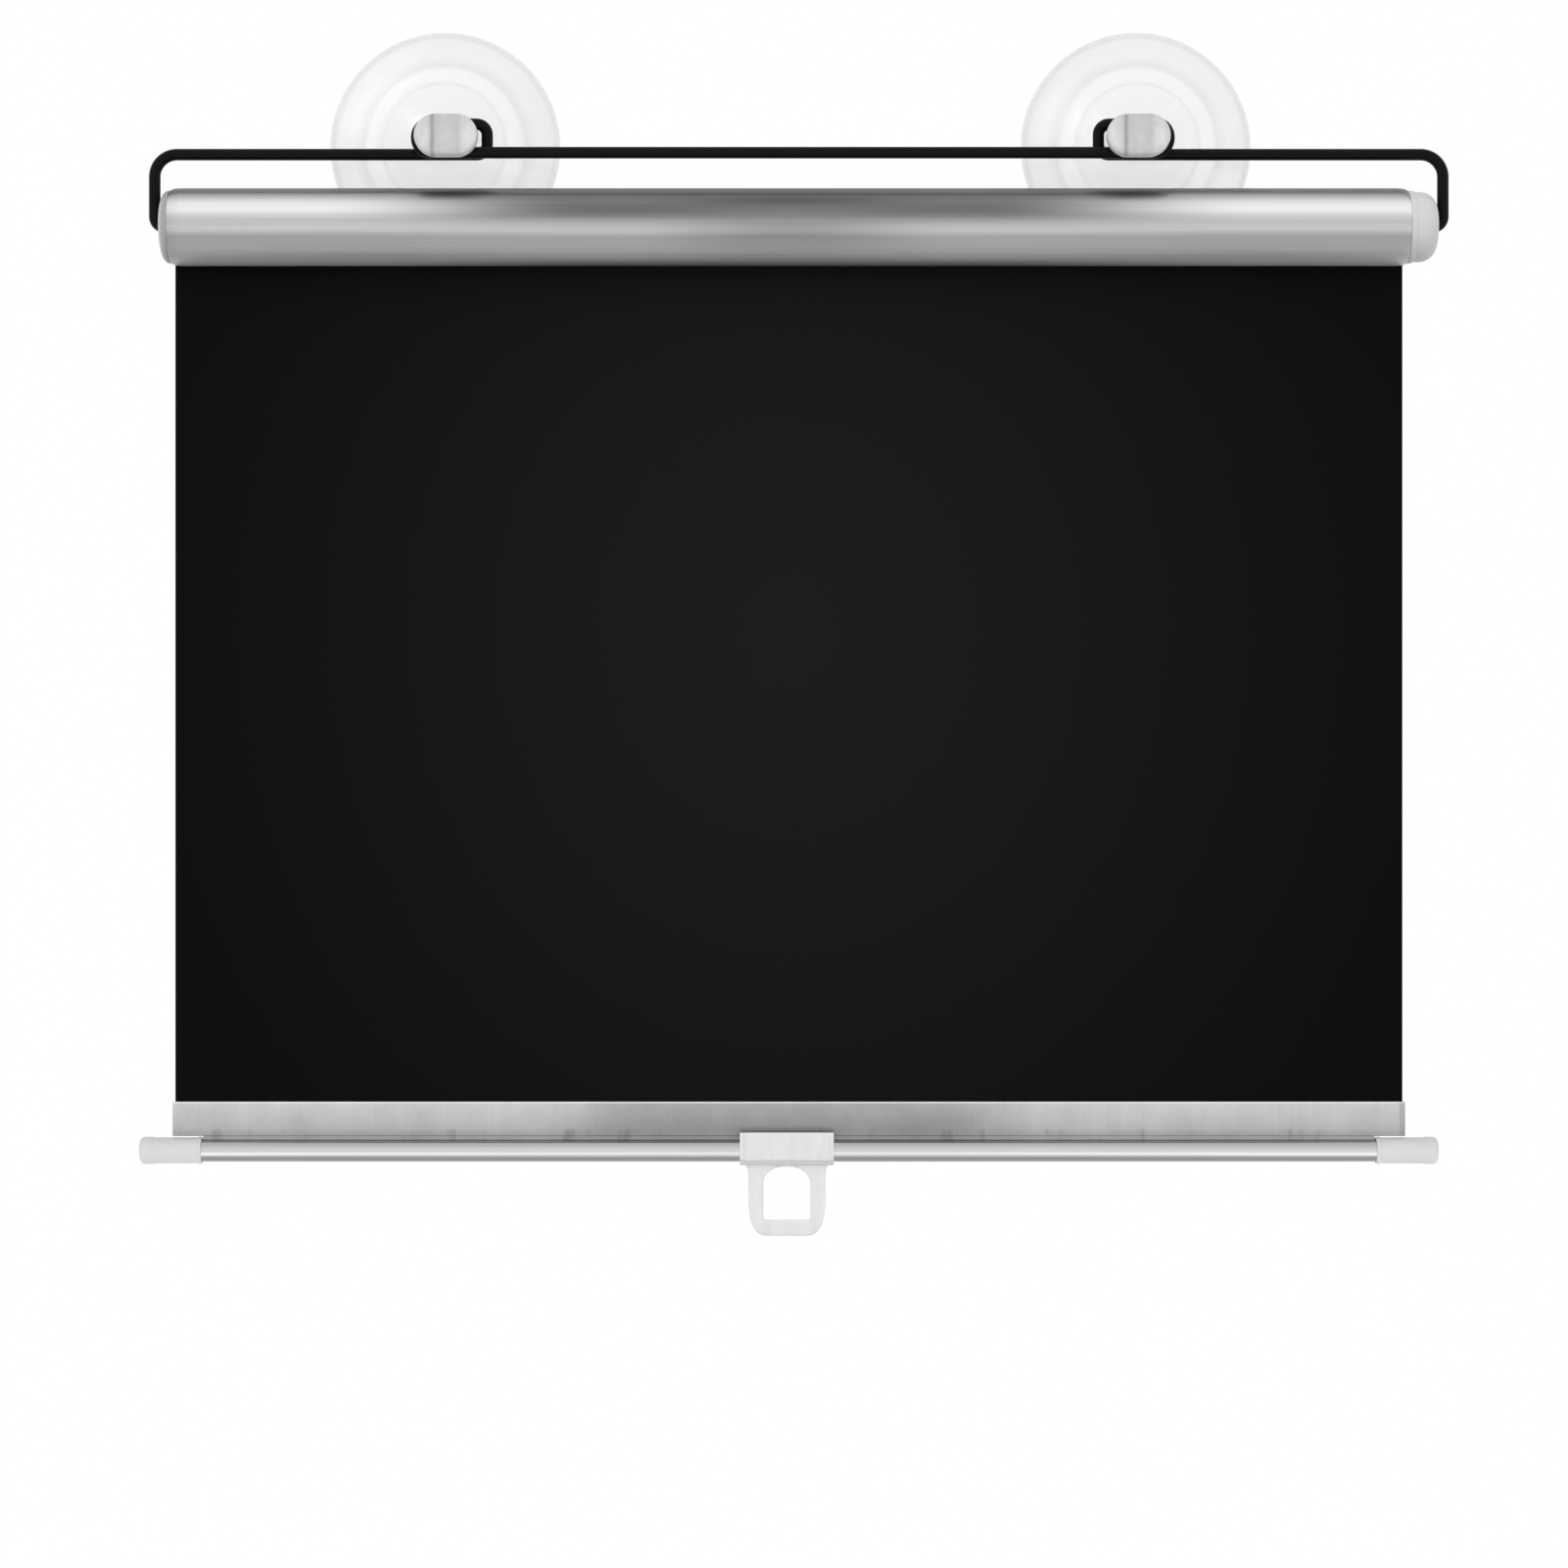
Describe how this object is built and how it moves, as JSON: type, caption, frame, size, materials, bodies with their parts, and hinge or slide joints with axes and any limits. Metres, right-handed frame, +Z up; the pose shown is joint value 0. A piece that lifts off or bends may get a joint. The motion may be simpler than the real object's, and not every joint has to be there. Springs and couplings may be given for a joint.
{
  "type": "car side window sunshade",
  "caption": "Retractable car side window shade: film on a sprung roller in a round casing, hung by a wire and suction cups, with a bottom rod and a pull tab.",
  "frame": {"origin": "on the window glass plane, at the height of the suction cups, over the middle of the film's width", "axes": "+X to the viewer's right along the casing, +Y towards the window glass, +Z up"},
  "size_m": [0.3838, 0.0273, 0.3553],
  "materials": {
    "clear_pvc": "clear soft plastic",
    "coated_wire": "black plastic coating, satin",
    "brushed_aluminium": "brushed along the tube",
    "white_plastic": "moulded, slightly translucent white",
    "black_film": "black film, soft sheen",
    "inner_steel": "plain steel",
    "spring_steel": "oiled steel",
    "inner_plastic": "moulded",
    "silver_strip": "silver with upright grain",
    "bright_tube": "bright, smooth",
    "tab_plastic": "moulded, translucent grey white"
  },
  "bodies": {
    "hanger": {"wire_hanger": "coated_wire", "suction_cup_left": "clear_pvc", "suction_cup_right": "clear_pvc"},
    "casing": {"casing_tube": "brushed_aluminium", "end_cap_left": "white_plastic", "end_cap_right": "white_plastic", "shade_fabric": "black_film", "spring_shaft": "inner_steel", "torsion_spring": "spring_steel", "spring_collar": "inner_plastic", "ratchet_wheel": "inner_steel"},
    "roller": {"roller_tube": "inner_steel", "roller_plug_left": "inner_plastic", "roller_plug_right": "inner_plastic", "spring_hub": "inner_plastic", "pawl_pin_1": "spring_steel", "pawl_pin_2": "spring_steel"},
    "pawl_upper": {"pawl_1": "inner_steel"},
    "pawl_lower": {"pawl_2": "inner_steel"},
    "bottom_bar": {"hem_strip": "silver_strip", "bottom_rod": "bright_tube", "rod_cap_left": "white_plastic", "rod_cap_right": "white_plastic", "pull_tab": "tab_plastic"}
  },
  "joints": [
    {"name": "casing_swing", "type": "hinge", "parent": "hanger", "child": "casing", "pos_m": [0, -0.016, -0.0256], "axis": [-1, 0, 0], "range_deg": [-25, 90]},
    {"name": "shade_pull", "type": "slide", "parent": "casing", "child": "bottom_bar", "axis": [0, 0, 1], "range_m": [0, 0.2447], "deforming": ["shade_fabric"]},
    {"name": "roller_turn", "type": "hinge", "parent": "casing", "child": "roller", "pos_m": [0, -0.016, -0.0256], "axis": [1, 0, 0], "range_deg": [0, 1800]},
    {"name": "pawl_upper_swing", "type": "hinge", "parent": "roller", "child": "pawl_upper", "pos_m": [0.1833, -0.016, -0.0182], "axis": [1, 0, 0], "range_deg": [0, 34]},
    {"name": "pawl_lower_swing", "type": "hinge", "parent": "roller", "child": "pawl_lower", "pos_m": [0.1833, -0.016, -0.033], "axis": [1, 0, 0], "range_deg": [0, 34]}
  ],
  "couplings": [
    {"joint": "roller_turn", "follows": "shade_pull", "rad_per_m": 128.38}
  ]
}
